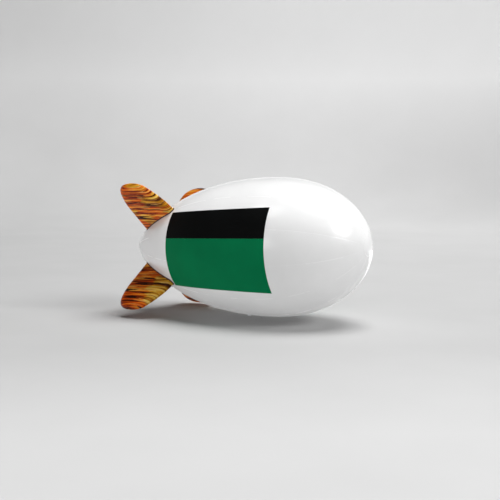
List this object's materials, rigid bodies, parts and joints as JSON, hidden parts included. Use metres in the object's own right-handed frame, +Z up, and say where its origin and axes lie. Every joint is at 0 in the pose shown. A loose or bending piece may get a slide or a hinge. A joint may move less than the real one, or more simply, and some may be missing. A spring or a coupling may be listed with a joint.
{
  "type": "advertising blimp balloon",
  "caption": "Inflated airship-shaped advertising balloon with a welded gored hull, an X of tail fins, a printed panel on each flank, and tether rings and a filling valve on the keel.",
  "frame": {"origin": "on the hull's axis at the middle of its length, where the air that holds it up acts", "axes": "+X along the axis towards the nose, +Y to port, +Z up"},
  "size_m": [6, 3.048, 3.1086],
  "materials": {
    "hull_film": "glossy white film, welded seams",
    "panel_black": "black print on film",
    "panel_green": "dark green print on film",
    "fin_print": "streaked orange and brown print on film",
    "cuff_tape": "dark brown welding tape",
    "patch_film": "satin white film, welded",
    "webbing": "woven polyester webbing",
    "ring_steel": "polished welded steel wire",
    "valve_plastic": "moulded white plastic"
  },
  "bodies": {
    "envelope": {"gore_01": "hull_film", "gore_02": "hull_film", "gore_03": "hull_film", "gore_04": "hull_film", "gore_05": "hull_film", "gore_06": "hull_film", "gore_07": "hull_film", "gore_08": "hull_film", "gore_09": "hull_film", "gore_10": "hull_film", "gore_11": "hull_film", "gore_12": "hull_film", "nose_cap": "hull_film", "tail_cap": "hull_film", "panel_black_starboard": "panel_black", "panel_green_starboard": "panel_green", "panel_black_port": "panel_black", "panel_green_port": "panel_green", "fin_upper_starboard": "fin_print", "fin_lower_starboard": "fin_print", "fin_lower_port": "fin_print", "fin_upper_port": "fin_print", "fin_cuff_upper_starboard": "cuff_tape", "fin_cuff_lower_starboard": "cuff_tape", "fin_cuff_lower_port": "cuff_tape", "fin_cuff_upper_port": "cuff_tape", "tether_patch_fore": "patch_film", "tether_webbing_fore": "webbing", "tether_patch_mid": "patch_film", "tether_webbing_mid": "webbing", "tether_patch_aft": "patch_film", "tether_webbing_aft": "webbing", "valve_body": "valve_plastic"},
    "ring_fore": {"tether_ring_fore": "ring_steel"},
    "ring_mid": {"tether_ring_mid": "ring_steel"},
    "ring_aft": {"tether_ring_aft": "ring_steel"},
    "valve_cap": {"valve_cap": "valve_plastic"}
  },
  "joints": [
    {"name": "tether_ring_fore_swing", "type": "hinge", "parent": "envelope", "child": "ring_fore", "pos_m": [0.42, 0, -1.53538], "axis": [0, 1, 0], "range_deg": [-75, 75]},
    {"name": "tether_ring_mid_swing", "type": "hinge", "parent": "envelope", "child": "ring_mid", "pos_m": [-0.24, 0, -1.47633], "axis": [0, 1, 0], "range_deg": [-75, 75]},
    {"name": "tether_ring_aft_swing", "type": "hinge", "parent": "envelope", "child": "ring_aft", "pos_m": [-0.9, 0, -1.34322], "axis": [0, 1, 0], "range_deg": [-75, 75]},
    {"name": "valve_cap_hinge", "type": "hinge", "parent": "envelope", "child": "valve_cap", "pos_m": [0.045, 0, -1.53183], "axis": [0, 1, 0], "range_deg": [0, 150]}
  ]
}
